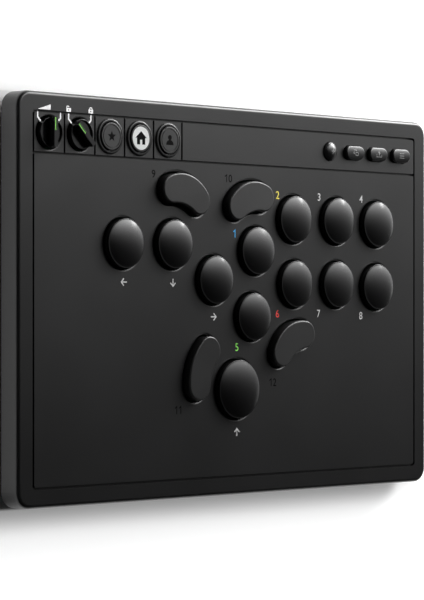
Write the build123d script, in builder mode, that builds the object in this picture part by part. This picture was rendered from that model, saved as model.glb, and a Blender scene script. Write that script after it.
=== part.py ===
"""All-button arcade controller panel: case, plates, buttons, knobs and switches.

Millimetres.  The case lies flat with its buttons up: +Z is up, +X is the right
hand of the player, +Y points away from the player.  The origin is the middle
of the footprint, on the surface the feet stand on.
"""
import math
import os

from build123d import *

os.makedirs("parts", exist_ok=True)

# ------------------------------------------------------------ case sizes
CASE_X = 303.0
CASE_Y = 200.0
CASE_R = 8.0
FACE_Z = 16.8
SIDE_Z = 4.0
WALL = 3.0
TOP_EDGE = 2.0
LOW_EDGE = 1.5
LEDGE_Z = 13.2
PLATE_T = 2.0
PLATE_Z = FACE_Z - PLATE_T
OPEN_X = 283.9
OPEN_Y = 181.9
OPEN_R = 1.9
PLATE_R = 1.2
LEDGE_IN = 3.4
GAP = 1.1
SPLIT_Y = 70.5
PLATE_X = OPEN_X - 2 * GAP
PLATE_LO = -OPEN_Y / 2 + GAP
PLATE_HI = SPLIT_Y - GAP / 2
STRIP_LO = SPLIT_Y + GAP / 2
STRIP_HI = OPEN_Y / 2 - GAP
STRIP_MID = (STRIP_LO + STRIP_HI) / 2

# ------------------------------------------------------------ base and boards
FOOT_T = 1.2
BASE_X = 287.0
BASE_Y = 184.0
BASE_FLOOR = 1.6
BASE_IN = FOOT_T + BASE_FLOOR
FLANGE_T = 1.4
BOARD_Z = 3.9
BOARD_T = 1.6
BOARD_TOP = BOARD_Z + BOARD_T
STRIP_BOARD_Z = 7.4

# ------------------------------------------------------------ play buttons
CAP_R = 12.2
BIG_CAP_R = 15.0
CAP_RIM = 2.9
DOME_H = 2.1
RIM_FLAT = 0.5
RIM_EDGE = 0.2
HOLE_GAP = 0.55
HOLE_EDGE = 1.3
SKIRT_LO = 14.0
BOSS_LO = 15.3
BOSS_R = 2.9
TRAVEL = 3.0
HOUSING_TOP = 12.0
HOUSING = 13.8
STEM_TOP = 17.9
BEAN_HALF = 7.1
LONG_BEAN_HALF = 7.6
BEAN_EDGE = 0.9
BEAN_GAP = 0.7
BEAN_TOP = 4.0
BEAN_LO = 15.3

ROUND = {
    "left": (-82.5, 28.1, CAP_R),
    "down": (-48.1, 28.4, CAP_R),
    "right": (-18.4, 10.7, CAP_R),
    "jump": (-1.6, -45.5, BIG_CAP_R),
    "action_1": (12.7, 26.1, CAP_R),
    "action_2": (41.8, 43.2, CAP_R),
    "action_3": (75.9, 43.2, CAP_R),
    "action_4": (108.4, 42.3, CAP_R),
    "action_5": (9.9, -8.1, CAP_R),
    "action_6": (42.4, 9.1, CAP_R),
    "action_7": (75.8, 9.1, CAP_R),
    "action_8": (108.3, 8.1, CAP_R),
}
# name: centre of the sweep, middle radius, radius of the outer side,
# half width at the ends, first and last angle
BEAN = {
    "bean_1": (-48.1, 28.4, 27.7, 23.6, BEAN_HALF, 53.1, 95.4),
    "bean_2": (12.7, 26.1, 27.7, 23.6, BEAN_HALF, 82.8, 125.2),
    "bean_3": (-1.6, -45.5, 30.2, 29.0, LONG_BEAN_HALF, 139.1, 175.7),
    "bean_4": (51.5, -45.0, 27.7, 23.6, BEAN_HALF, 97.0, 140.2),
}

# ------------------------------------------------------------ strip controls
TILE = 20.05
TILE_0 = -131.35
KNOB_R = 7.25
KNOB_HOLE = 8.2
KNOB_RIM = 2.0
KNOB_CUP = 1.0
BLADE_TOP = 5.2
BLADE_W = 2.8
SMALL_R = 6.8
SMALL_TOP = 1.5
COLLAR_OUT = 8.8
COLLAR_IN = 7.5
COLLAR_UP = 0.9
COLLAR_EDGE = 0.8
SMALL_TRAVEL = 0.5
PAD_TOP = 9.5
PILL_X = (89.8, 109.0, 128.3)
PILL_L = 14.6
PILL_W = 7.4
PILL_TOP = 2.5
PILL_EDGE = 0.7
PILL_CROWN_R = 11.0
FN_X = 71.0
FN_R = 4.9
FN_TOP = 2.7
FN_BALL_R = 7.5
FN_EDGE = 0.5
FN_GAP = 0.35

KNOB_X = (TILE_0, TILE_0 + TILE)
SMALL_X = (TILE_0 + 2 * TILE, TILE_0 + 3 * TILE, TILE_0 + 4 * TILE)
SMALL_NAMES = ("favourite_button", "home_button", "profile_button")


def polar(cx, cy, radius, degrees):
    """Point at a radius and an angle round a centre."""
    turn = math.radians(degrees)
    return (cx + radius * math.cos(turn), cy + radius * math.sin(turn))


def bean_middle(spec):
    """Where the switch sits: half way along the sweep of a bean button."""
    cx, cy, radius, _, _, first, last = spec
    return polar(cx, cy, radius, (first + last) / 2)


def bean_outline(spec, grow):
    """Closed wire of a bean: a hollow inner side, a fuller outer side and round ends."""
    cx, cy, radius, bulge, end_r, first, last = spec
    middle = (first + last) / 2
    half = end_r + grow
    inner = radius - half
    outer = bulge + grow
    # the outer side has its own centre on the middle line, and meets the ends smoothly
    spread = math.radians(last - middle)
    half_chord = radius * math.sin(spread)
    reach = bulge - end_r
    lean = math.degrees(math.asin(half_chord / reach))
    offset_in = radius * math.cos(spread) - math.sqrt(reach**2 - half_chord**2)
    ox, oy = polar(cx, cy, offset_in, middle)
    start = polar(cx, cy, radius, first)
    end = polar(cx, cy, radius, last)
    with BuildLine() as wire:
        ThreePointArc(
            polar(ox, oy, outer, middle - lean),
            polar(ox, oy, outer, middle),
            polar(ox, oy, outer, middle + lean),
        )
        ThreePointArc(
            polar(ox, oy, outer, middle + lean),
            polar(end[0], end[1], half, (middle + lean + last + 180) / 2),
            polar(cx, cy, inner, last),
        )
        ThreePointArc(
            polar(cx, cy, inner, last),
            polar(cx, cy, inner, middle),
            polar(cx, cy, inner, first),
        )
        ThreePointArc(
            polar(cx, cy, inner, first),
            polar(start[0], start[1], half, (middle - lean + first - 180) / 2),
            polar(ox, oy, outer, middle - lean),
        )
    return wire.wires()[0]


def cross(arm, width):
    """Plus-shaped sketch used by the switch stems and their sockets."""
    with BuildSketch(Plane.XY) as plus:
        Rectangle(arm, width)
        Rectangle(width, arm)
    return plus.sketch


def save(part, name):
    """Name a body and write it out."""
    part.label = name
    export_step(part, "parts/" + name + ".step")


BUTTONS = {name: (spec[0], spec[1]) for name, spec in ROUND.items()}
for bean_name, bean_spec in BEAN.items():
    BUTTONS[bean_name] = bean_middle(bean_spec)
SWITCHES = list(BUTTONS.values())

SCREWS = []
for screw_x in (-138.6, 138.6):
    for screw_y in (-85.5, -2.0, 67.0):
        SCREWS.append((screw_x, screw_y))
FEET = [(-118.0, -72.0), (118.0, -72.0), (-118.0, 72.0), (118.0, 72.0), (0.0, 72.0), (0.0, -72.0)]
USB_X = -12.0
JACK_X = -36.0
PORT_Z = 8.9

# ------------------------------------------------------------ case shell
with BuildPart() as frame:
    with BuildSketch(Plane.XY.offset(SIDE_Z)):
        RectangleRounded(CASE_X, CASE_Y, CASE_R)
    extrude(amount=FACE_Z - SIDE_Z)
    top_edges = frame.faces().sort_by(Axis.Z)[-1].outer_wire().edges()
    fillet(top_edges, TOP_EDGE)
    low_edges = frame.faces().sort_by(Axis.Z)[0].outer_wire().edges()
    fillet(low_edges, LOW_EDGE)
    # main pocket, open at the bottom
    with BuildSketch(Plane.XY.offset(SIDE_Z)):
        RectangleRounded(CASE_X - 2 * WALL, CASE_Y - 2 * WALL, CASE_R - WALL)
    extrude(amount=LEDGE_Z - SIDE_Z, mode=Mode.SUBTRACT)
    # recess that takes the plates, and the opening inside the ledge
    with BuildSketch(Plane.XY.offset(PLATE_Z)):
        RectangleRounded(OPEN_X, OPEN_Y, OPEN_R)
    extrude(amount=PLATE_T, mode=Mode.SUBTRACT)
    with BuildSketch(Plane.XY.offset(LEDGE_Z)):
        RectangleRounded(OPEN_X - 2 * LEDGE_IN, OPEN_Y - 2 * LEDGE_IN, 2.0)
    extrude(amount=PLATE_Z - LEDGE_Z, mode=Mode.SUBTRACT)
    # room in the ledge for the flanges of the tile controls
    with BuildSketch(Plane.XY.offset(LEDGE_Z)):
        with Locations(*[(x, STRIP_MID) for x in KNOB_X + SMALL_X]):
            Circle(8.7)
    extrude(amount=PLATE_Z - LEDGE_Z, mode=Mode.SUBTRACT)
    # bridge below the joint of the two plates
    with BuildSketch(Plane.XY.offset(LEDGE_Z)):
        with Locations((0, SPLIT_Y)):
            Rectangle(OPEN_X - 2 * LEDGE_IN, 2.4)
    extrude(amount=PLATE_Z - LEDGE_Z)
    # screw towers down to the base
    with BuildSketch(Plane.XY.offset(BASE_IN)):
        with Locations(*SCREWS):
            Circle(2.9)
    extrude(amount=PLATE_Z - BASE_IN)
    with BuildSketch(Plane.XY.offset(BASE_IN)):
        with Locations(*SCREWS):
            Circle(1.3)
    extrude(amount=7.0, mode=Mode.SUBTRACT)
    # openings for the sockets in the far wall
    with BuildSketch(Plane.XZ.offset(-CASE_Y / 2 + WALL + 1)):
        with Locations((USB_X, PORT_Z)):
            RectangleRounded(11.4, 5.6, 2.7)
        with Locations((JACK_X, PORT_Z)):
            Circle(3.3)
    extrude(amount=-(WALL + 2), mode=Mode.SUBTRACT)
save(frame.part, "frame")

# ------------------------------------------------------------ main face plate
with BuildPart() as face_plate:
    with BuildSketch(Plane.XY.offset(PLATE_Z)) as plate_shape:
        with Locations((0, (PLATE_LO + PLATE_HI) / 2)):
            Rectangle(PLATE_X, PLATE_HI - PLATE_LO)
        fillet(plate_shape.vertices().group_by(Axis.Y)[0], PLATE_R)
        fillet(plate_shape.vertices().group_by(Axis.Y)[-1], 0.4)
    extrude(amount=PLATE_T)
    with BuildSketch(Plane.XY.offset(PLATE_Z)):
        for hole_x, hole_y, cap_r in ROUND.values():
            with Locations((hole_x, hole_y)):
                Circle(cap_r + HOLE_GAP)
    extrude(amount=PLATE_T, mode=Mode.SUBTRACT)
    for bean_spec in BEAN.values():
        with BuildSketch(Plane.XY.offset(PLATE_Z)):
            add(make_face(bean_outline(bean_spec, BEAN_GAP), mode=Mode.PRIVATE))
        extrude(amount=PLATE_T, mode=Mode.SUBTRACT)
    face_top = face_plate.faces().sort_by(Axis.Z)[-1]
    fillet(face_top.inner_wires().edges(), HOLE_EDGE)
save(face_plate.part, "face_plate")

# ------------------------------------------------------------ control strip
with BuildPart() as control_strip:
    with BuildSketch(Plane.XY.offset(PLATE_Z)) as strip_shape:
        with Locations((0, STRIP_MID)):
            Rectangle(PLATE_X, STRIP_HI - STRIP_LO)
        fillet(strip_shape.vertices().group_by(Axis.Y)[-1], PLATE_R)
        fillet(strip_shape.vertices().group_by(Axis.Y)[0], 0.4)
    extrude(amount=PLATE_T)
    # knob wells
    with BuildSketch(Plane.XY.offset(PLATE_Z)):
        with Locations(*[(x, STRIP_MID) for x in KNOB_X]):
            Circle(KNOB_HOLE)
    extrude(amount=PLATE_T, mode=Mode.SUBTRACT)
    knob_rims = control_strip.edges().filter_by(GeomType.CIRCLE)
    knob_rims = knob_rims.filter_by(lambda e: abs(e.radius - KNOB_HOLE) < 0.01)
    fillet(knob_rims.group_by(Axis.Z)[-1], 0.7)
    # wells that take the collars of the three round buttons
    with BuildSketch(Plane.XY.offset(PLATE_Z)):
        with Locations(*[(x, STRIP_MID) for x in SMALL_X]):
            Circle(8.0)
        with Locations((FN_X, STRIP_MID)):
            Circle(FN_R + FN_GAP)
        with Locations(*[(x, STRIP_MID) for x in PILL_X]):
            SlotOverall(PILL_L + 2 * FN_GAP, PILL_W + 2 * FN_GAP)
    extrude(amount=PLATE_T, mode=Mode.SUBTRACT)
    # shallow grooves that part the tiles
    with BuildSketch(Plane.XY.offset(FACE_Z - 1.1)):
        with Locations(*[(TILE_0 + (n + 0.5) * TILE, STRIP_MID) for n in range(5)]):
            Rectangle(GAP, STRIP_HI - STRIP_LO)
    extrude(amount=1.1, mode=Mode.SUBTRACT)
save(control_strip.part, "control_strip")

# ------------------------------------------------------------ button collars
with BuildPart() as button_collars:
    with BuildSketch(Plane.XY.offset(PLATE_Z)):
        with Locations(*[(x, STRIP_MID) for x in SMALL_X]):
            Circle(8.0)
            Circle(COLLAR_IN, mode=Mode.SUBTRACT)
    extrude(amount=PLATE_T)
    with BuildSketch(Plane.XY.offset(FACE_Z)):
        with Locations(*[(x, STRIP_MID) for x in SMALL_X]):
            Circle(COLLAR_OUT)
            Circle(COLLAR_IN, mode=Mode.SUBTRACT)
    extrude(amount=COLLAR_UP)
    lip = button_collars.edges().filter_by(GeomType.CIRCLE).group_by(Axis.Z)[-1]
    fillet(lip.filter_by(lambda e: e.radius > COLLAR_OUT - 0.1), COLLAR_EDGE)
save(button_collars.part, "button_collars")

# ------------------------------------------------------------ base
with BuildPart() as base_cover:
    with BuildSketch(Plane.XY.offset(FOOT_T)):
        RectangleRounded(BASE_X, BASE_Y, 6.0)
    extrude(amount=SIDE_Z - FOOT_T)
    fillet(base_cover.faces().sort_by(Axis.Z)[0].outer_wire().edges(), 0.6)
    with BuildSketch(Plane.XY.offset(SIDE_Z)):
        RectangleRounded(CASE_X - 2 * WALL - 0.4, CASE_Y - 2 * WALL - 0.4, CASE_R - WALL)
    extrude(amount=FLANGE_T)
    with BuildSketch(Plane.XY.offset(BASE_IN)):
        RectangleRounded(BASE_X - 3.2, BASE_Y - 3.2, 4.4)
    extrude(amount=SIDE_Z + FLANGE_T - BASE_IN, mode=Mode.SUBTRACT)
    # standoffs for the main board
    with BuildSketch(Plane.XY.offset(BASE_IN)):
        with Locations(*[(x, y) for x in (-120, -40, 40, 124) for y in (-80, -22, 60)]):
            Circle(2.6)
    extrude(amount=BOARD_Z - BASE_IN)
    # taller posts for the strip board
    with BuildSketch(Plane.XY.offset(BASE_IN)):
        with Locations(*[(x, STRIP_MID + 6.2) for x in (-121.3, -81.2, -24.0, 40.0, 99.4)]):
            Circle(2.4)
    extrude(amount=STRIP_BOARD_Z - BASE_IN)
    # recesses for the feet, holes and countersinks for the case screws
    with BuildSketch(Plane.XY.offset(FOOT_T)):
        with Locations(*FEET):
            Circle(9.2)
    extrude(amount=0.4, mode=Mode.SUBTRACT)
    with Locations(*[(x, y, FOOT_T) for x, y in SCREWS]):
        Cylinder(1.45, 6.0, mode=Mode.SUBTRACT)
        Cone(2.75, 1.45, 1.2, align=(Align.CENTER, Align.CENTER, Align.MIN), mode=Mode.SUBTRACT)
save(base_cover.part, "base_cover")

with BuildPart() as rubber_feet:
    with BuildSketch(Plane.XY):
        with Locations(*FEET):
            Circle(9.0)
    extrude(amount=FOOT_T + 0.4)
    fillet(rubber_feet.edges().filter_by(GeomType.CIRCLE).group_by(Axis.Z)[0], 0.4)
save(rubber_feet.part, "rubber_feet")

with BuildPart() as case_screws:
    with Locations(*[(x, y, FOOT_T) for x, y in SCREWS]):
        Cone(2.6, 1.25, 1.2, align=(Align.CENTER, Align.CENTER, Align.MIN))
        Cylinder(1.25, 7.4, align=(Align.CENTER, Align.CENTER, Align.MIN))
    with BuildSketch(Plane.XY.offset(FOOT_T)):
        with Locations(*SCREWS):
            Rectangle(2.6, 0.6)
            Rectangle(0.6, 2.6)
    extrude(amount=0.7, mode=Mode.SUBTRACT)
save(case_screws.part, "case_screws")

# ------------------------------------------------------------ boards and battery
MAIN_LO = -88.0
MAIN_HI = 66.0
BATTERY = (104.0, -56.0)
with BuildPart() as main_board:
    with BuildSketch(Plane.XY.offset(BOARD_Z)):
        with Locations((0, (MAIN_LO + MAIN_HI) / 2)):
            RectangleRounded(270.0, MAIN_HI - MAIN_LO, 3.0)
        with Locations((5.0, -34.0)):
            Rectangle(8.0, 4.0, mode=Mode.SUBTRACT)
    extrude(amount=BOARD_T)
    # controller chips and a row of small parts
    with BuildSketch(Plane.XY.offset(BOARD_TOP)):
        with Locations((-70.0, -22.0)):
            Rectangle(9.0, 9.0)
        with Locations((-88.0, -22.0)):
            Rectangle(6.0, 6.0)
        with Locations(*[(-58.0 + 4 * n, -34.0) for n in range(4)]):
            Rectangle(1.6, 0.8)
    extrude(amount=1.0)
save(main_board.part, "main_board")

with BuildPart() as strip_board:
    with BuildSketch(Plane.XY.offset(STRIP_BOARD_Z)):
        with Locations((0, STRIP_MID)):
            Rectangle(272.0, 17.0)
        # notches that hold the two sockets
        with Locations((USB_X, STRIP_HI)):
            Rectangle(9.0, 14.0, mode=Mode.SUBTRACT)
        with Locations((JACK_X, STRIP_HI)):
            Rectangle(7.0, 14.0, mode=Mode.SUBTRACT)
    extrude(amount=BOARD_T)
    # one contact dome below each strip button
    with BuildSketch(Plane.XY.offset(STRIP_BOARD_Z + BOARD_T)):
        with Locations(*[(x, STRIP_MID) for x in SMALL_X + PILL_X + (FN_X,)]):
            Rectangle(6.0, 6.0)
    extrude(amount=0.2)
    with BuildSketch(Plane.XY.offset(STRIP_BOARD_Z + BOARD_T + 0.2)):
        with Locations(*[(x, STRIP_MID) for x in SMALL_X + PILL_X + (FN_X,)]):
            Circle(2.6)
    extrude(amount=PAD_TOP - STRIP_BOARD_Z - BOARD_T - 0.2, taper=20)
save(strip_board.part, "strip_board")

with BuildPart() as battery_pack:
    with BuildSketch(Plane.XY.offset(BOARD_TOP)):
        with Locations(BATTERY):
            RectangleRounded(50.0, 34.0, 2.0)
    extrude(amount=6.0)
    fillet(battery_pack.edges().filter_by(Plane.XY).group_by(Axis.Z)[-1], 1.0)
save(battery_pack.part, "battery_pack")

# ------------------------------------------------------------ sockets
with BuildPart() as usb_c_port:
    with BuildSketch(Plane.XZ.offset(-CASE_Y / 2 + 1.0)):
        with Locations((USB_X, PORT_Z)):
            RectangleRounded(9.0, 3.3, 1.6)
            RectangleRounded(8.4, 2.7, 1.3, mode=Mode.SUBTRACT)
    extrude(amount=7.6)
    with BuildSketch(Plane.XZ.offset(-CASE_Y / 2 + 8.6)):
        with Locations((USB_X, PORT_Z)):
            RectangleRounded(9.0, 3.3, 1.6)
    extrude(amount=1.0)
    with BuildSketch(Plane.XZ.offset(-CASE_Y / 2 + 1.6)):
        with Locations((USB_X, PORT_Z)):
            Rectangle(6.7, 0.7)
    extrude(amount=8.0)
    with Locations((USB_X, CASE_Y / 2 - 11.0, PORT_Z - 0.2)):
        Box(9.0, 5.0, 3.0)
save(usb_c_port.part, "usb_c_port")

with BuildPart() as audio_jack:
    with BuildSketch(Plane.XZ.offset(-CASE_Y / 2 + 0.8)):
        with Locations((JACK_X, PORT_Z)):
            Circle(3.1)
            Circle(1.8, mode=Mode.SUBTRACT)
    extrude(amount=3.2)
    with BuildSketch(Plane.XZ.offset(-CASE_Y / 2 + 4.0)):
        with Locations((JACK_X, PORT_Z)):
            Rectangle(7.0, 5.6)
            Circle(1.8, mode=Mode.SUBTRACT)
    extrude(amount=10.5)
    with BuildSketch(Plane.XZ.offset(-CASE_Y / 2 + 14.5)):
        with Locations((JACK_X, PORT_Z)):
            Rectangle(7.0, 5.6)
    extrude(amount=1.0)
save(audio_jack.part, "audio_jack")

# ------------------------------------------------------------ key switches
FLANGE_HALF = 3.6
with BuildPart() as switch_bases:
    with BuildSketch(Plane.XY.offset(BOARD_TOP)):
        with Locations(*SWITCHES):
            Rectangle(HOUSING, HOUSING)
    extrude(amount=3.6)
    with BuildSketch(Plane.XY.offset(BOARD_TOP + 0.9)):
        with Locations(*SWITCHES):
            Rectangle(2 * FLANGE_HALF + 0.8, 2 * FLANGE_HALF + 0.8)
    extrude(amount=2.7, mode=Mode.SUBTRACT)
save(switch_bases.part, "switch_bases")

COVER_LO = BOARD_TOP + 3.6
with BuildPart() as switch_covers:
    with BuildSketch(Plane.XY.offset(COVER_LO)):
        with Locations(*SWITCHES):
            Rectangle(HOUSING, HOUSING)
    extrude(amount=HOUSING_TOP - COVER_LO)
    tops = switch_covers.faces().group_by(Axis.Z)[-1]
    chamfer(tops.edges(), 0.7)
    with BuildSketch(Plane.XY.offset(COVER_LO)):
        with Locations(*SWITCHES):
            Rectangle(2 * FLANGE_HALF + 0.8, 2 * FLANGE_HALF + 0.8)
    extrude(amount=HOUSING_TOP - 0.8 - COVER_LO, mode=Mode.SUBTRACT)
    with BuildSketch(Plane.XY.offset(HOUSING_TOP - 0.8)):
        with Locations(*SWITCHES):
            Circle(2.75)
    extrude(amount=0.8, mode=Mode.SUBTRACT)
save(switch_covers.part, "switch_covers")

SPRING_Z = BOARD_TOP + 0.9
with BuildPart() as switch_springs:
    for spring_x, spring_y in SWITCHES:
        for ring_r, ring_z in ((3.0, 0.15), (2.5, 0.3), (2.0, 0.45)):
            with Locations((spring_x, spring_y, SPRING_Z + ring_z)):
                Torus(ring_r, 0.15)
        for link_x, link_z in ((2.75, 0.23), (-2.25, 0.38)):
            with Locations((spring_x + link_x, spring_y, SPRING_Z + link_z)):
                Box(0.7, 0.24, 0.22)
save(switch_springs.part, "switch_springs")

FLANGE_TOP = HOUSING_TOP - 0.8 - 0.1
for button, (bx, by) in BUTTONS.items():
    with BuildPart() as stem:
        with BuildSketch(Plane.XY.offset(FLANGE_TOP - 0.9)):
            with Locations((bx, by)):
                Rectangle(2 * FLANGE_HALF, 2 * FLANGE_HALF)
        extrude(amount=0.9)
        with BuildSketch(Plane.XY.offset(FLANGE_TOP)):
            with Locations((bx, by)):
                Circle(2.45)
        extrude(amount=BOSS_LO - FLANGE_TOP)
        with BuildSketch(Plane.XY.offset(BOSS_LO)):
            with Locations((bx, by)):
                add(cross(4.0, 1.2))
        extrude(amount=STEM_TOP - BOSS_LO)
    save(stem.part, button + "_stem")

# ------------------------------------------------------------ round caps
for button, (bx, by, cap_r) in ROUND.items():
    rim_z = FACE_Z + CAP_RIM
    dome_h = DOME_H * cap_r / CAP_R
    dome_r = cap_r - RIM_FLAT
    ball_r = (dome_r**2 + dome_h**2) / (2 * dome_h)
    with BuildPart() as cap:
        with BuildSketch(Plane.XZ) as half:
            with BuildLine():
                Polyline((0, SKIRT_LO), (cap_r, SKIRT_LO), (cap_r, rim_z), (dome_r, rim_z))
                ThreePointArc(
                    (dome_r, rim_z),
                    (dome_r / 2, rim_z + dome_h - ball_r + math.sqrt(ball_r**2 - dome_r**2 / 4)),
                    (0, rim_z + dome_h),
                )
                Line((0, rim_z + dome_h), (0, SKIRT_LO))
            make_face()
        revolve(axis=Axis.Z)
        rim = cap.edges().filter_by(GeomType.CIRCLE).filter_by(
            lambda e: abs(e.center().Z - rim_z) < 0.05 and e.radius > dome_r + 0.1
        )
        fillet(rim, RIM_EDGE)
        # hollow underside with the boss that grips the stem
        with BuildSketch(Plane.XY.offset(SKIRT_LO)):
            Circle(cap_r - 1.4)
        extrude(amount=4.3, mode=Mode.SUBTRACT)
        with BuildSketch(Plane.XY.offset(BOSS_LO)):
            Circle(BOSS_R)
        extrude(amount=18.6 - BOSS_LO)
        with BuildSketch(Plane.XY.offset(BOSS_LO)):
            add(cross(4.04, 1.24))
        extrude(amount=STEM_TOP + 0.1 - BOSS_LO, mode=Mode.SUBTRACT)
        # thin ribs from the boss to the skirt
        with BuildSketch(Plane.XY.offset(16.6)):
            with PolarLocations((BOSS_R + cap_r - 1.4) / 2, 4, start_angle=45):
                Rectangle(cap_r - 1.2 - BOSS_R, 0.9)
        extrude(amount=1.9)
    save(Pos(bx, by, 0) * cap.part, button + "_cap")

# ------------------------------------------------------------ bean caps
for button, spec in BEAN.items():
    bx, by = bean_middle(spec)
    with BuildPart() as cap:
        with BuildSketch(Plane.XY.offset(BEAN_LO)):
            add(make_face(bean_outline(spec, 0), mode=Mode.PRIVATE))
        extrude(amount=FACE_Z + BEAN_TOP - BEAN_LO)
        fillet(cap.faces().sort_by(Axis.Z)[-1].outer_wire().edges(), BEAN_EDGE)
        with BuildSketch(Plane.XY.offset(BEAN_LO)):
            add(make_face(bean_outline(spec, -1.3), mode=Mode.PRIVATE))
        extrude(amount=3.7, mode=Mode.SUBTRACT)
        with BuildSketch(Plane.XY.offset(BOSS_LO)):
            with Locations((bx, by)):
                Circle(BOSS_R)
        extrude(amount=19.2 - BOSS_LO)
        with BuildSketch(Plane.XY.offset(BOSS_LO)):
            with Locations((bx, by)):
                add(cross(4.04, 1.24))
        extrude(amount=STEM_TOP + 0.1 - BOSS_LO, mode=Mode.SUBTRACT)
    save(cap.part, button + "_cap")

# ------------------------------------------------------------ three round strip buttons
for name, bx in zip(SMALL_NAMES, SMALL_X):
    top_z = FACE_Z + SMALL_TOP
    with BuildPart() as cap:
        with BuildSketch(Plane.XY.offset(13.9)):
            Circle(SMALL_R)
        extrude(amount=top_z - 13.9)
        fillet(cap.edges().filter_by(GeomType.CIRCLE).group_by(Axis.Z)[-1], 0.35)
        # retaining flange below the plate and the plunger onto the pad
        with BuildSketch(Plane.XY.offset(13.5)):
            Circle(8.1)
        extrude(amount=0.9)
        with BuildSketch(Plane.XY.offset(PAD_TOP + SMALL_TRAVEL + 0.05)):
            Circle(2.2)
        extrude(amount=14.0 - PAD_TOP - SMALL_TRAVEL)
        if name == "home_button":
            with BuildSketch(Plane.XY.offset(top_z - 0.8)):
                Circle(5.9)
            extrude(amount=0.8, mode=Mode.SUBTRACT)
        else:
            with BuildSketch(Plane.XY.offset(top_z - 0.3)):
                Circle(5.85)
                Circle(5.45, mode=Mode.SUBTRACT)
            extrude(amount=0.3, mode=Mode.SUBTRACT)
    save(Pos(bx, STRIP_MID, 0) * cap.part, name)

with BuildPart() as home_lens:
    with BuildSketch(Plane.XY.offset(FACE_Z + SMALL_TOP - 0.8)):
        with Locations((SMALL_X[1], STRIP_MID)):
            Circle(5.85)
    extrude(amount=0.75)
    fillet(home_lens.edges().filter_by(GeomType.CIRCLE).group_by(Axis.Z)[-1], 0.2)
save(home_lens.part, "home_lens")

# ------------------------------------------------------------ function buttons
with BuildPart() as turbo_button:
    with BuildSketch(Plane.XY.offset(13.9)):
        Circle(FN_R)
    extrude(amount=FACE_Z + FN_TOP - 13.9)
    with Locations((0, 0, FACE_Z + FN_TOP - FN_BALL_R)):
        Sphere(FN_BALL_R, mode=Mode.INTERSECT)
    top_rim = turbo_button.edges().filter_by(GeomType.CIRCLE).filter_by(
        lambda e: abs(e.radius - FN_R) < 0.01
    )
    fillet(top_rim.group_by(Axis.Z)[-1], FN_EDGE)
    with BuildSketch(Plane.XY.offset(13.5)):
        Circle(FN_R + 0.8)
    extrude(amount=0.9)
    with BuildSketch(Plane.XY.offset(PAD_TOP + SMALL_TRAVEL + 0.05)):
        Circle(2.0)
    extrude(amount=14.0 - PAD_TOP - SMALL_TRAVEL)
save(Pos(FN_X, STRIP_MID, 0) * turbo_button.part, "turbo_button")

for name, bx in zip(("view_button", "share_button", "menu_button"), PILL_X):
    with BuildPart() as cap:
        with BuildSketch(Plane.XY.offset(13.9)):
            SlotOverall(PILL_L, PILL_W)
        extrude(amount=FACE_Z + PILL_TOP - 13.9)
        # the top is crowned across its width
        with Locations((0, 0, FACE_Z + PILL_TOP - PILL_CROWN_R)):
            Cylinder(PILL_CROWN_R, 2 * PILL_L, rotation=(0, 90, 0), mode=Mode.INTERSECT)
        fillet(cap.faces().sort_by(Axis.Z)[-1].outer_wire().edges(), PILL_EDGE)
        with BuildSketch(Plane.XY.offset(13.5)):
            SlotOverall(PILL_L + 1.6, PILL_W + 1.6)
        extrude(amount=0.9)
        with BuildSketch(Plane.XY.offset(PAD_TOP + SMALL_TRAVEL + 0.05)):
            Circle(2.2)
        extrude(amount=14.0 - PAD_TOP - SMALL_TRAVEL)
    save(Pos(bx, STRIP_MID, 0) * cap.part, name)

# ------------------------------------------------------------ rotary knobs
SHAFT_R = 3.0
SHAFT_GAP = 0.2
BODY_TOP = 12.6
with BuildPart() as rotary_bodies:
    with BuildSketch(Plane.XY.offset(STRIP_BOARD_Z + BOARD_T)):
        with Locations(*[(x, STRIP_MID) for x in KNOB_X]):
            Rectangle(11.0, 11.0)
    extrude(amount=BODY_TOP - STRIP_BOARD_Z - BOARD_T)
    with BuildSketch(Plane.XY.offset(STRIP_BOARD_Z + BOARD_T + 0.8)):
        with Locations(*[(x, STRIP_MID) for x in KNOB_X]):
            Circle(SHAFT_R + SHAFT_GAP)
    extrude(amount=4.0, mode=Mode.SUBTRACT)
save(rotary_bodies.part, "rotary_bodies")

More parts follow.
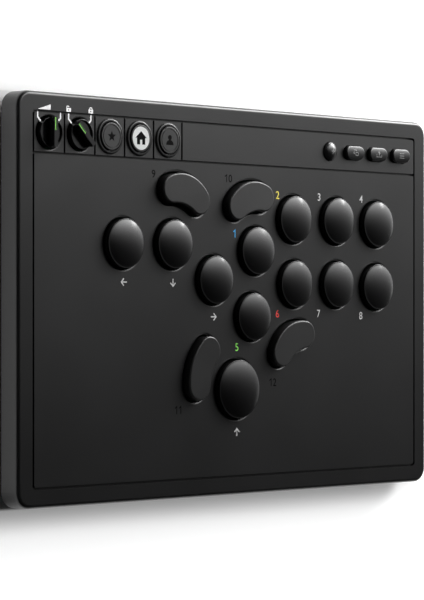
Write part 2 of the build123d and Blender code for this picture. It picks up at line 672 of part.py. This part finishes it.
for name, bx, pointer in (("volume", KNOB_X[0], 0.0), ("lock", KNOB_X[1], 45.0)):
    with BuildPart() as shaft:
        with BuildSketch(Plane.XY.offset(STRIP_BOARD_Z + BOARD_T + 0.9)):
            Circle(SHAFT_R)
        extrude(amount=16.6 - STRIP_BOARD_Z - BOARD_T - 0.9)
        with BuildSketch(Plane.XY.offset(13.8)):
            with Locations((0, -SHAFT_R - 0.9)):
                Rectangle(8.0, 4.0)
        extrude(amount=3.0, mode=Mode.SUBTRACT)
    save(Pos(bx, STRIP_MID, 0) * Rot(0, 0, pointer) * shaft.part, name + "_shaft")

    with BuildPart() as knob:
        with BuildSketch(Plane.XY.offset(13.8)):
            Circle(KNOB_R)
        extrude(amount=FACE_Z + KNOB_RIM - 13.8)
        with BuildSketch(Plane.XY.offset(FACE_Z + KNOB_CUP)):
            Circle(KNOB_R - 0.55)
        extrude(amount=KNOB_RIM - KNOB_CUP, mode=Mode.SUBTRACT)
        fillet(knob.edges().filter_by(GeomType.CIRCLE).group_by(Axis.Z)[-1], 0.2)
        # grip blade across the full diameter
        with BuildSketch(Plane.XY.offset(FACE_Z + KNOB_CUP - 0.2)):
            Rectangle(BLADE_W, 2 * KNOB_R)
            Circle(KNOB_R - 0.01, mode=Mode.INTERSECT)
        extrude(amount=BLADE_TOP - KNOB_CUP + 0.2)
        blade_top = knob.faces().sort_by(Axis.Z)[-1]
        chamfer(blade_top.edges().filter_by(Axis.Y), 0.25)
        # hollow underside and D-shaped shaft socket
        with BuildSketch(Plane.XY.offset(13.8)):
            Circle(KNOB_R - 1.2)
            Circle(4.4, mode=Mode.SUBTRACT)
        extrude(amount=2.8, mode=Mode.SUBTRACT)
        with BuildSketch(Plane.XY.offset(13.8)):
            Circle(SHAFT_R + 0.02)
            with Locations((0, -SHAFT_R - 0.92)):
                Rectangle(8.0, 4.0, mode=Mode.SUBTRACT)
        extrude(amount=2.9, mode=Mode.SUBTRACT)
    save(Pos(bx, STRIP_MID, 0) * Rot(0, 0, pointer) * knob.part, name + "_knob")
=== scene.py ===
import math

import bmesh
import bpy
from mathutils import Matrix, Vector


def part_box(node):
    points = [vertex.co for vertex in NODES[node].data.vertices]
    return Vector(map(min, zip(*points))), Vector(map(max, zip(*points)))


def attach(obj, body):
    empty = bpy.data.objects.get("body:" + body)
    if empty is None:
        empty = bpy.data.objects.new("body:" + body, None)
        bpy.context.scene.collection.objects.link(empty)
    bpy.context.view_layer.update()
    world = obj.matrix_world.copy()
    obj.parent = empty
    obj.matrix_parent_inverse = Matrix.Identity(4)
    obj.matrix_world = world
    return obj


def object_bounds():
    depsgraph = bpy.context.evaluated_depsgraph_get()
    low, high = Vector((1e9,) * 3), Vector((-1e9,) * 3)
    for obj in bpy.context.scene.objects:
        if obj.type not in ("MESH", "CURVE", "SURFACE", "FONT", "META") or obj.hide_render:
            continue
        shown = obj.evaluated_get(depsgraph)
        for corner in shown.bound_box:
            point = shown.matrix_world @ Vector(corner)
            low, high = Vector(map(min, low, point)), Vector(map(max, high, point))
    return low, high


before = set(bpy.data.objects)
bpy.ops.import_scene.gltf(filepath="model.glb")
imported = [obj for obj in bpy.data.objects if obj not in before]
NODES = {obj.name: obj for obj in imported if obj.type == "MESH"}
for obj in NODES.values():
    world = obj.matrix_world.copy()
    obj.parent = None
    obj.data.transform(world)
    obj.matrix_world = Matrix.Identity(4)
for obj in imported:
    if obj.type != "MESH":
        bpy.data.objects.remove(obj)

CAD_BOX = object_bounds()
MM = 0.001


def middle(node):
    """Centre of a CAD node in plan."""
    lo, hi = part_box(node)
    return (lo.x + hi.x) / 2, (lo.y + hi.y) / 2


FACE_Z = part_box("face_plate")[1].z
ROUND = ["left", "down", "right", "jump"] + ["action_%d" % n for n in range(1, 9)]
BEANS = ["bean_%d" % n for n in range(1, 5)]

# ---------------------------------------------------------------- materials

CLOUD_SCALE = 22.0
CLOUD_LOW, CLOUD_HIGH = 0.3, 0.7
RELIEF_DEPTH = 0.0002


def material(name, base, rough, grain=900.0, bump=0.05, mottle=0.12, specular=0.5,
             metallic=0.0, streak=None, rough_var=0.06):
    """Procedural moulded plastic or metal: fine grain, faint mottling, uneven gloss."""
    mat = bpy.data.materials.new(name)
    mat.use_nodes = True
    tree = mat.node_tree
    bsdf = tree.nodes["Principled BSDF"]
    bsdf.inputs["Metallic"].default_value = metallic
    bsdf.inputs["Specular IOR Level"].default_value = specular
    coord = tree.nodes.new("ShaderNodeTexCoord")
    place = tree.nodes.new("ShaderNodeMapping")
    tree.links.new(coord.outputs["Object"], place.inputs["Vector"])
    if streak:
        place.inputs["Scale"].default_value = streak
    cloud = tree.nodes.new("ShaderNodeTexNoise")
    cloud.inputs["Scale"].default_value = CLOUD_SCALE
    cloud.inputs["Detail"].default_value = 5.0
    tree.links.new(place.outputs["Vector"], cloud.inputs["Vector"])
    ramp = tree.nodes.new("ShaderNodeValToRGB")
    ramp.color_ramp.elements[0].position = CLOUD_LOW
    ramp.color_ramp.elements[1].position = CLOUD_HIGH
    dark = [c * (1 - mottle) for c in base]
    light = [min(1.0, c * (1 + mottle)) for c in base]
    ramp.color_ramp.elements[0].color = dark + [1]
    ramp.color_ramp.elements[1].color = light + [1]
    tree.links.new(cloud.outputs["Fac"], ramp.inputs["Fac"])
    tree.links.new(ramp.outputs["Color"], bsdf.inputs["Base Color"])
    gloss = tree.nodes.new("ShaderNodeMapRange")
    gloss.inputs["From Min"].default_value = CLOUD_LOW
    gloss.inputs["From Max"].default_value = CLOUD_HIGH
    gloss.inputs["To Min"].default_value = max(0.02, rough - rough_var)
    gloss.inputs["To Max"].default_value = min(1.0, rough + rough_var)
    tree.links.new(cloud.outputs["Fac"], gloss.inputs["Value"])
    tree.links.new(gloss.outputs["Result"], bsdf.inputs["Roughness"])
    fine = tree.nodes.new("ShaderNodeTexNoise")
    fine.inputs["Scale"].default_value = grain
    fine.inputs["Detail"].default_value = 3.0
    tree.links.new(place.outputs["Vector"], fine.inputs["Vector"])
    relief = tree.nodes.new("ShaderNodeBump")
    relief.inputs["Strength"].default_value = bump
    relief.inputs["Distance"].default_value = RELIEF_DEPTH
    tree.links.new(fine.outputs["Fac"], relief.inputs["Height"])
    tree.links.new(relief.outputs["Normal"], bsdf.inputs["Normal"])
    return mat


case_mat = material("case_satin", [0.009, 0.009, 0.0092], 0.30,
                    grain=1500, bump=0.10, rough_var=0.015)
plate_mat = material("plate_satin", [0.008, 0.008, 0.0082], 0.34,
                     grain=1500, bump=0.10, rough_var=0.015)
base_mat = material("base_matte", [0.02, 0.02, 0.02], 0.6, grain=900, bump=0.3)
cap_mat = material("dome_gloss", [0.005, 0.005, 0.0052], 0.17, grain=1800, bump=0.04)
bean_mat = material("bean_satin", [0.009, 0.009, 0.0092], 0.36, grain=1500, bump=0.08)
key_mat = material("key_satin", [0.011, 0.011, 0.0112], 0.36, grain=1500, bump=0.08)
collar_mat = material("collar_gloss", [0.009, 0.009, 0.0092], 0.22, grain=1500, bump=0.03)
pill_mat = material("pill_gloss", [0.009, 0.009, 0.0092], 0.25, grain=1500, bump=0.03)
knob_mat = material("knob_gloss", [0.006, 0.006, 0.0065], 0.16, grain=900, bump=0.02)
rubber_mat = material("foot_rubber", [0.012, 0.012, 0.012], 0.85, grain=500, bump=0.5)
screw_mat = material("screw_zinc", [0.45, 0.45, 0.46], 0.32, metallic=1.0, streak=(1, 1, 30))
steel_mat = material("shell_steel", [0.6, 0.6, 0.62], 0.28, metallic=1.0, streak=(1, 12, 1))
spring_mat = material("spring_steel", [0.62, 0.6, 0.56], 0.25, metallic=1.0, streak=(8, 8, 1))
board_mat = material("board_green", [0.012, 0.09, 0.035], 0.4, grain=300, bump=0.15)
battery_mat = material("battery_foil", [0.28, 0.29, 0.31], 0.38, grain=200, bump=0.3)
jack_mat = material("jack_black", [0.01, 0.01, 0.01], 0.3)
switch_mat = material("switch_grey", [0.03, 0.03, 0.032], 0.5, grain=700, bump=0.15)
stem_mat = material("stem_ivory", [0.62, 0.59, 0.52], 0.45, grain=700, bump=0.1)
lens_mat = material("lens_white", [0.86, 0.87, 0.86], 0.25, grain=500, bump=0.02, mottle=0.03)

USES = {
    case_mat: ["frame"],
    plate_mat: ["face_plate", "control_strip"],
    base_mat: ["base_cover"],
    collar_mat: ["button_collars"],
    rubber_mat: ["rubber_feet"],
    screw_mat: ["case_screws"],
    board_mat: ["main_board", "strip_board"],
    battery_mat: ["battery_pack"],
    steel_mat: ["usb_c_port", "volume_shaft", "lock_shaft"],
    jack_mat: ["audio_jack"],
    switch_mat: ["switch_bases", "switch_covers", "rotary_bodies"],
    spring_mat: ["switch_springs"],
    cap_mat: [b + "_cap" for b in ROUND],
    bean_mat: [b + "_cap" for b in BEANS],
    stem_mat: [b + "_stem" for b in ROUND + BEANS],
    key_mat: ["favourite_button", "home_button", "profile_button"],
    pill_mat: ["turbo_button", "view_button", "share_button", "menu_button"],
    lens_mat: ["home_lens"],
    knob_mat: ["volume_knob", "lock_knob"],
}
for mat, names in USES.items():
    for name in names:
        NODES[name].data.materials.clear()
        NODES[name].data.materials.append(mat)


def ink(name, colour, rough=0.5, glow=0.0, specular=0.3):
    """Printed ink: faintly uneven in tone, a little rough; a glow above zero adds painted light, so
    the print gives off light of its own.
    """
    mat = material(name, colour, rough, grain=1600, bump=0.06, mottle=0.06, specular=specular)
    if glow:
        bsdf = mat.node_tree.nodes["Principled BSDF"]
        bsdf.inputs["Emission Color"].default_value = colour + [1]
        bsdf.inputs["Emission Strength"].default_value = glow
    return mat


# The glow values below are painted light: these inks shine a little by themselves.
white_ink = ink("ink_white", [0.9, 0.9, 0.9], glow=0.25)
grey_ink = ink("ink_grey", [0.62, 0.62, 0.62], glow=0.05)
dim_ink = ink("ink_dim", [0.22, 0.22, 0.22])
dark_ink = ink("ink_dark", [0.002, 0.002, 0.002], 0.8, specular=0.06)
blue_ink = ink("ink_blue", [0.05, 0.42, 0.85], glow=0.15)
yellow_ink = ink("ink_yellow", [0.85, 0.72, 0.10], glow=0.15)
red_ink = ink("ink_red", [0.75, 0.06, 0.05], glow=0.15)
green_ink = ink("ink_green", [0.25, 0.75, 0.12], glow=0.15)
# One green pointer insert, painted as a lit copy with a glow (painted highlight) and a dark copy
# (painted shade).
pointer_ink = ink("pointer_green", [0.25, 0.70, 0.10], 0.35, glow=0.15)
painted_shade_pointer_ink = ink("pointer_painted_shade", [0.02, 0.10, 0.01], 0.4)

# ---------------------------------------------------------------- flat printed pieces

INK_THICK = 0.05
INK_Z = FACE_Z + 0.01 * MM
HOOP_Z = FACE_Z + 0.012 * MM
DIGIT_HEIGHT = 4.0
DIGIT_BOLD = 0.02
CAPITAL_SHARE = 0.72


def mesh_from_curve(name, curve, mat, body):
    """Turns a filled curve into a mesh piece that rides on a body."""
    helper = bpy.data.objects.new(name + "_curve", curve)
    bpy.context.scene.collection.objects.link(helper)
    bpy.context.view_layer.update()
    mesh = bpy.data.meshes.new_from_object(helper)
    mesh.transform(helper.matrix_world)
    bpy.data.objects.remove(helper)
    bpy.data.curves.remove(curve)
    mesh.materials.clear()
    mesh.materials.append(mat)
    piece = bpy.data.objects.new(name, mesh)
    bpy.context.scene.collection.objects.link(piece)
    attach(piece, body)
    return piece


def flat(name, loops, z, mat, body, at=(0.0, 0.0), turn=0.0):
    """Filled flat shape from closed loops in mm round a centre; inner loops are holes."""
    curve = bpy.data.curves.new(name, "CURVE")
    curve.dimensions = "2D"
    curve.fill_mode = "BOTH"
    curve.extrude = INK_THICK * MM / 2
    c, s = math.cos(turn), math.sin(turn)
    for loop in loops:
        line = curve.splines.new("POLY")
        line.points.add(len(loop) - 1)
        line.use_cyclic_u = True
        for point, (x, y) in zip(line.points, loop):
            px = (x * c - y * s) * MM + at[0]
            py = (x * s + y * c) * MM + at[1]
            point.co = (px, py, 0, 1)
    piece = mesh_from_curve(name, curve, mat, body)
    piece.data.transform(Matrix.Translation((0, 0, z)))
    return piece


def legend(name, text, x, y, mat):
    """Printed number on the face plate, centred on a point in mm."""
    curve = bpy.data.curves.new(name, "FONT")
    curve.body = text
    curve.size = DIGIT_HEIGHT * MM / CAPITAL_SHARE
    curve.align_x = "CENTER"
    curve.align_y = "CENTER"
    curve.offset = DIGIT_BOLD * MM
    curve.extrude = INK_THICK * MM / 2
    piece = mesh_from_curve(name, curve, mat, "case")
    spots = [vertex.co for vertex in piece.data.vertices]
    lo = Vector((min(spot.x for spot in spots), min(spot.y for spot in spots), 0))
    hi = Vector((max(spot.x for spot in spots), max(spot.y for spot in spots), 0))
    scale = DIGIT_HEIGHT * MM / (hi.y - lo.y)
    piece.data.transform(Matrix.Translation(-(lo + hi) / 2))
    piece.data.transform(Matrix.Diagonal((scale, scale, 1, 1)))
    piece.data.transform(Matrix.Translation((x * MM, y * MM, INK_Z)))


def ring(cx, cy, r, n=36, start=0.0, end=360.0):
    """Points of a circle, or of an open arc when end is short of a full turn."""
    full = abs(end - start) >= 360
    count = n if full else n + 1
    step = math.radians(end - start) / n
    a = math.radians(start)
    angles = [a + k * step for k in range(count)]
    return [(cx + r * math.cos(t), cy + r * math.sin(t)) for t in angles]


def bar(cx, cy, w, h, r=0.25):
    """Rounded bar."""
    loop = []
    for sx, sy, a in ((1, 1, 0), (-1, 1, 90), (-1, -1, 180), (1, -1, 270)):
        loop += ring(cx + sx * (w / 2 - r), cy + sy * (h / 2 - r), r, 6, a, a + 90)
    return loop


def stroke(points, width):
    """Outline of a polyline drawn with a round-ended pen."""
    half = width / 2
    left, right = [], []
    for k, (x, y) in enumerate(points):
        ax, ay = points[max(k - 1, 0)]
        bx, by = points[min(k + 1, len(points) - 1)]
        d1 = Vector((x - ax, y - ay)) if k else Vector((bx - x, by - y))
        d2 = Vector((bx - x, by - y)) if k < len(points) - 1 else Vector((x - ax, y - ay))
        d1.normalize()
        d2.normalize()
        n = Vector((-(d1.y + d2.y), d1.x + d2.x))
        n.normalize()
        reach = half / max(0.5, n.dot(Vector((-d1.y, d1.x))))
        left.append((x + n.x * reach, y + n.y * reach))
        right.append((x - n.x * reach, y - n.y * reach))
    sx, sy = points[0]
    ex, ey = points[-1]
    a0 = math.degrees(math.atan2(points[1][1] - sy, points[1][0] - sx))
    a1 = math.degrees(math.atan2(ey - points[-2][1], ex - points[-2][0]))
    head = ring(ex, ey, half, 8, a1 + 90, a1 - 90)
    tail = ring(sx, sy, half, 8, a0 - 90, a0 - 270)
    return left[:-1] + head + right[::-1][1:-1] + tail


# numbers beside the play buttons: number, place in mm, ink
NUMBERS = (
    (1, -2.6, 34.7, blue_ink),
    (2, 30.0, 55.7, yellow_ink),
    (3, 62.5, 55.7, grey_ink),
    (4, 96.6, 55.7, grey_ink),
    (5, -1.0, -23.9, green_ink),
    (6, 29.8, -6.6, red_ink),
    (7, 62.1, -6.5, grey_ink),
    (8, 96.4, -7.6, grey_ink),
    (9, -61.2, 63.3, dark_ink),
    (10, -7.3, 63.0, dark_ink),
    (11, -43.6, -55.3, dark_ink),
    (12, 26.2, -42.5, dark_ink),
)
DIGIT_STEP = 2.9
ONE = [(-0.85, 1.0), (0.25, 1.85), (0.25, -1.8)]
ONE_PEN = 0.5
for number, x, y, mat in NUMBERS:
    digits = str(number)
    for k, digit in enumerate(digits):
        dx = x + (k - (len(digits) - 1) / 2) * DIGIT_STEP
        name = "number_%d_%d" % (number, k)
        if digit == "1":
            flat(name, [stroke(ONE, ONE_PEN)], INK_Z, mat, "case", at=(dx * MM, y * MM))
        else:
            legend(name, digit, dx, y, mat)

# arrows by the direction buttons: place in mm, turn in degrees
ARROWS = {
    "left": (-81.8, 9.0, 90),
    "down": (-47.5, 8.8, 180),
    "right": (-18.1, -8.2, 270),
    "jump": (-1.0, -67.6, 0),
}
ARROW = [(0, 2.1), (2.0, 0.1), (1.55, -0.3), (0.3, 0.95), (0.3, -2.1),
         (-0.3, -2.1), (-0.3, 0.95), (-1.55, -0.3), (-2.0, 0.1)]
for name, (x, y, turn) in ARROWS.items():
    flat("arrow_" + name, [ARROW], INK_Z, grey_ink, "case",
         at=(x * MM, y * MM), turn=math.radians(turn))

# white marks over the two knobs: a bent line at each side, the wedge, and two padlocks
MARK_PEN = 0.85
for knob in ("volume_knob", "lock_knob"):
    for side in (-1, 1):
        line = [(side * 5.6, 5.35), (side * 7.35, 7.1), (side * 7.35, 9.3)]
        flat("%s_mark_%d" % (knob, side + 1), [stroke(line, MARK_PEN)], INK_Z, white_ink,
             "case", at=middle(knob))
flat("volume_wedge", [[(-7.3, 10.9), (1.0, 10.9), (1.0, 13.4), (0.6, 13.4)]], INK_Z,
     white_ink, "case", at=middle("volume_knob"))

PADLOCK_X = 7.3
HOOP_Y = 12.4
HOOP_CUT = 3
for side in (-1, 1):
    x = side * PADLOCK_X
    body = bar(x, 11.5, 3.1, 1.9, 0.3)
    keyhole = bar(x, 11.45, 0.8, 0.6, 0.2)
    lean = -0.5 if side < 0 else 0.0
    outer = ring(x + lean, HOOP_Y, 1.15, 16, 0, 180)
    inner = ring(x + lean, HOOP_Y, 0.7, 16, 180, 0)
    if side < 0:
        outer = outer[HOOP_CUT:]
        inner = inner[:-HOOP_CUT]
    flat("padlock_body_%d" % (side + 1), [body, keyhole], INK_Z, white_ink,
         "case", at=middle("lock_knob"))
    flat("padlock_hoop_%d" % (side + 1), [outer + inner], HOOP_Z, white_ink,
         "case", at=middle("lock_knob"))

# signs on the small keys
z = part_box("favourite_button")[1].z
star = []
for k in range(10):
    r = 2.9 if k % 2 == 0 else 1.2
    a = math.radians(90 + 36 * k)
    star.append((r * math.cos(a), r * math.sin(a)))
flat("favourite_star", [star], z, dark_ink,
     "favourite_key", at=middle("favourite_button"))

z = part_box("home_lens")[1].z
house = [(0, 3.6), (3.9, 0.2), (2.8, 0.2), (2.8, -3.1), (-2.8, -3.1), (-2.8, 0.2), (-3.9, 0.2)]
door = bar(0, -1.9, 1.5, 2.4, 0.1)
flat("home_house", [house, door], z, dark_ink, "home_key", at=middle("home_lens"))

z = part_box("profile_button")[1].z
shoulders = [(-2.6, -2.4)] + ring(0, -2.4, 2.6, 18, 180, 0)[1:]
flat("profile_head", [ring(0, 1.35, 1.3)], z, dark_ink,
     "profile_key", at=middle("profile_button"))
flat("profile_shoulders", [shoulders], z, dark_ink,
     "profile_key", at=middle("profile_button"))

# signs on the four function buttons, laid on their crowned tops


def lay_on_crown(piece, node):
    """Cuts a flat sign into small cells and drops each point onto the top of its button."""
    target = NODES[node]
    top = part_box(node)[1].z
    cell = 0.35 * MM
    mesh = bmesh.new()
    mesh.from_mesh(piece.data)
    for axis in (0, 1):
        normal = (1 - axis, axis, 0)
        first = min(vertex.co[axis] for vertex in mesh.verts)
        last = max(vertex.co[axis] for vertex in mesh.verts)
        for k in range(1, math.ceil((last - first) / cell)):
            place = [0.0, 0.0, 0.0]
            place[axis] = first + k * cell
            geom = mesh.verts[:] + mesh.edges[:] + mesh.faces[:]
            bmesh.ops.bisect_plane(mesh, geom=geom, dist=1e-7, plane_co=place, plane_no=normal)
    for vertex in mesh.verts:
        hit, where, _, _ = target.ray_cast((vertex.co.x, vertex.co.y, top + cell), (0, 0, -1))
        if hit:
            vertex.co.z = where.z + (vertex.co.z - top)
    mesh.to_mesh(piece.data)
    mesh.free()


def key_sign(name, loops, button):
    """Dim printed sign on one of the function buttons."""
    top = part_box(button + "_button")[1].z
    piece = flat(name, loops, top, dim_ink, button + "_key",
                 at=middle(button + "_button"))
    lay_on_crown(piece, button + "_button")


key_sign("turbo_bolt", [[(0.5, 1.8), (-1.3, -0.3), (-0.2, -0.3),
                         (-0.5, -1.8), (1.3, 0.3), (0.2, 0.3)]], "turbo")
key_sign("view_sign_front", [bar(0.75, -0.55, 2.4, 2.1, 0.3),
                             bar(0.75, -0.55, 1.6, 1.3, 0.15)], "view")
key_sign("view_sign_back", [[(-1.9, 1.7), (0.6, 1.7), (0.6, 0.9), (0.2, 0.9), (0.2, 1.3), (-1.5, 1.3),
                             (-1.5, -0.2), (-0.9, -0.2), (-0.9, -0.6), (-1.9, -0.6)]], "view")
key_sign("share_tray", [[(-2.2, 0.0), (-2.2, -1.6), (2.2, -1.6), (2.2, 0.0),
                         (1.8, 0.0), (1.8, -1.2), (-1.8, -1.2), (-1.8, 0.0)]], "share")
key_sign("share_arrow", [[(0, 1.8), (1.1, 0.7), (0.25, 0.7), (0.25, -0.6),
                          (-0.25, -0.6), (-0.25, 0.7), (-1.1, 0.7)]], "share")
for k in range(3):
    key_sign("menu_bar_%d" % k, [bar(0, 1.2 * (k - 1), 4.0, 0.42, 0.2)], "menu")

# green pointers on the knob blades: a bright glowing stripe of painted highlight and a dark green
# stripe of painted shade beside it
for knob, turn in (("volume", 0.0), ("lock", math.radians(45))):
    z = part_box(knob + "_knob")[1].z
    at = middle(knob + "_knob")
    flat(knob + "_pointer", [bar(-0.55, 3.9, 0.45, 6.2, 0.15)], z, pointer_ink,
         knob + "_dial", at=at, turn=turn)
    flat(knob + "_pointer_painted_shade", [bar(0.15, 3.9, 0.6, 6.2, 0.15)], z, painted_shade_pointer_ink,
         knob + "_dial", at=at, turn=turn)

# ---------------------------------------------------------------- floor, lights, camera

FLOOR_REACH = 6.0
FLOOR_GLOW = 0.7
# The shade numbers below set the painted contact shadow on the floor.
SIDE_SHADE = 0.6
SHADE_RISE = (-0.012, -0.002)
SHADE_FALL = (0.001, 0.016)
SHADE_END = (0.0, 0.024)
BELOW_SIDE = (0.0, 0.004)
BELOW_END = (-0.001, 0.004)


def calc(tree, kind, first, second=None):
    """Adds a maths node with a number or another node's output at each input."""
    node = tree.nodes.new("ShaderNodeMath")
    node.operation = kind
    for socket, value in zip(node.inputs, (first, second)):
        if isinstance(value, float):
            socket.default_value = value
        elif value is not None:
            tree.links.new(value, socket)
    return node.outputs[0]


def ease(tree, value, start, end, low, high):
    """Adds a smooth change from low at start to high at end."""
    node = tree.nodes.new("ShaderNodeMapRange")
    node.interpolation_type = "SMOOTHSTEP"
    keys = ("From Min", "From Max", "To Min", "To Max")
    for key, number in zip(keys, (start, end, low, high)):
        node.inputs[key].default_value = number
    tree.links.new(value, node.inputs["Value"])
    return node.outputs["Result"]


def contact_shade(tree, bsdf):
    """Painted contact shadow: the floor's own glow is off below the case and fades beside its near
    and far sides.
    """
    half = CAD_BOX[1]
    geo = tree.nodes.new("ShaderNodeNewGeometry")
    split = tree.nodes.new("ShaderNodeSeparateXYZ")
    tree.links.new(geo.outputs["Position"], split.inputs["Vector"])
    across = calc(tree, "SUBTRACT", calc(tree, "ABSOLUTE", split.outputs["Y"]), half.y)
    beyond = calc(tree, "SUBTRACT", calc(tree, "ABSOLUTE", split.outputs["X"]), half.x)
    beside = calc(tree, "MULTIPLY", ease(tree, across, *SHADE_RISE, 0.0, 1.0),
                  ease(tree, across, *SHADE_FALL, 1.0, 0.0))
    beside = calc(tree, "MULTIPLY", beside, ease(tree, beyond, *SHADE_END, 1.0, 0.0))
    beside = calc(tree, "MULTIPLY", beside, SIDE_SHADE)
    below = calc(tree, "MULTIPLY", ease(tree, across, *BELOW_SIDE, 1.0, 0.0),
                 ease(tree, beyond, *BELOW_END, 1.0, 0.0))
    lit = calc(tree, "SUBTRACT", 1.0, calc(tree, "MAXIMUM", beside, below))
    tree.links.new(calc(tree, "MULTIPLY", lit, FLOOR_GLOW), bsdf.inputs["Emission Strength"])


def floor():
    """Plain pale floor, glowing evenly, with a painted contact shadow near the case."""
    mesh = bpy.data.meshes.new("floor")
    s = FLOOR_REACH
    mesh.from_pydata([(-s, -s, 0), (s, -s, 0), (s, s, 0), (-s, s, 0)], [], [(0, 1, 2, 3)])
    obj = bpy.data.objects.new("floor", mesh)
    bpy.context.scene.collection.objects.link(obj)
    mat = material("floor_pale", [0.88, 0.88, 0.88], 0.9,
                   grain=60, bump=0.0, mottle=0.01, specular=0.1)
    bsdf = mat.node_tree.nodes["Principled BSDF"]
    bsdf.inputs["Emission Color"].default_value = (1, 1, 1, 1)
    contact_shade(mat.node_tree, bsdf)
    mesh.materials.append(mat)


def panel(name, place, aim, size_x, size_y, power):
    """Rectangular soft light aimed at a point."""
    light = bpy.data.lights.new(name, "AREA")
    light.shape = "RECTANGLE"
    light.size = size_x
    light.size_y = size_y
    light.energy = power
    obj = bpy.data.objects.new(name, light)
    bpy.context.scene.collection.objects.link(obj)
    obj.location = place
    obj.rotation_euler = (Vector(aim) - Vector(place)).to_track_quat("-Z", "Y").to_euler()


def graded_softbox(power, steep, knee, tilt, least, most):
    """Large soft panel to the right of the object and above it, brighter towards the far side."""
    out = Vector((0.7156, 0.0, 0.6985))
    low = Vector((0.6985, 0.0, -0.7156))
    reach = 0.85
    span_y, mid_y = 1.35, 0.175
    span_q, mid_q = 1.65, -0.075
    light = bpy.data.lights.new("graded_softbox", "AREA")
    light.shape = "RECTANGLE"
    light.size = span_y
    light.size_y = span_q
    light.energy = math.pi * span_y * span_q
    light.use_nodes = True
    tree = light.node_tree
    geo = tree.nodes.new("ShaderNodeNewGeometry")

    def dot(axis):
        node = tree.nodes.new("ShaderNodeVectorMath")
        node.operation = "DOT_PRODUCT"
        tree.links.new(geo.outputs["Position"], node.inputs[0])
        node.inputs[1].default_value = axis
        return node.outputs["Value"]

    fade = calc(tree, "MULTIPLY", calc(tree, "SUBTRACT", dot((0, 1, 0)), knee), -steep)
    side = calc(tree, "DIVIDE", power, calc(tree, "ADD", calc(tree, "EXPONENT", fade), 1.0))
    slant = calc(tree, "ADD", calc(tree, "MULTIPLY", dot(low), tilt), 1.0)
    slant = calc(tree, "MINIMUM", calc(tree, "MAXIMUM", slant, least), most)
    tree.links.new(calc(tree, "MULTIPLY", side, slant), tree.nodes["Emission"].inputs["Strength"])
    obj = bpy.data.objects.new("graded_softbox", light)
    bpy.context.scene.collection.objects.link(obj)
    place = out * reach + low * mid_q + Vector((0, mid_y, 0))
    obj.matrix_world = Matrix((
        (0, -low.x, out.x, place.x),
        (1, -low.y, out.y, place.y),
        (0, -low.z, out.z, place.z),
        (0, 0, 0, 1),
    ))


floor()
graded_softbox(power=13.0, steep=7.8, knee=0.515, tilt=1.05, least=0.25, most=2.1)
panel("far_strip", place=(0.80, 0.78, 0.44), aim=(0.0, 0.1, 0.0),
      size_x=0.8, size_y=0.20, power=6.0)

# dark surroundings with a pale band along the horizon
BAND_EDGE = (0.03, 0.16)
BAND_GLOW, SKY_GLOW = 0.9, 0.006
world = bpy.data.worlds.new("studio")
world.use_nodes = True
sky = world.node_tree
height = sky.nodes.new("ShaderNodeSeparateXYZ")
sky.links.new(sky.nodes.new("ShaderNodeTexCoord").outputs["Generated"], height.inputs["Vector"])
band = ease(sky, height.outputs["Z"], *BAND_EDGE, BAND_GLOW, SKY_GLOW)
sky.links.new(band, sky.nodes["Background"].inputs["Strength"])
sky.nodes["Background"].inputs["Color"].default_value = (1, 1, 1, 1)
bpy.context.scene.world = world
bpy.context.scene.view_settings.view_transform = "Standard"

# camera left of the case and above it, turned PAN radians from straight down
PAN = 0.79752923
FOCAL_LENGTH = 154.42
SENSOR_WIDTH = 36.0
SHIFT_UP = 0.0257
FAR_CLIP = 20
eye = Vector((-0.96111, -0.0075, FACE_Z + 0.91918))
along = Vector((math.sin(PAN), 0, -math.cos(PAN)))
right = Vector((math.cos(PAN), 0, math.sin(PAN)))
up = right.cross(along)
lens = bpy.data.cameras.new("camera")
lens.lens = FOCAL_LENGTH
lens.sensor_width = SENSOR_WIDTH
lens.shift_y = SHIFT_UP
lens.clip_end = FAR_CLIP
camera = bpy.data.objects.new("camera", lens)
bpy.context.scene.collection.objects.link(camera)
camera.matrix_world = Matrix((
    (right.x, up.x, -along.x, eye.x),
    (right.y, up.y, -along.y, eye.y),
    (right.z, up.z, -along.z, eye.z),
    (0, 0, 0, 1),
))
bpy.context.scene.camera = camera
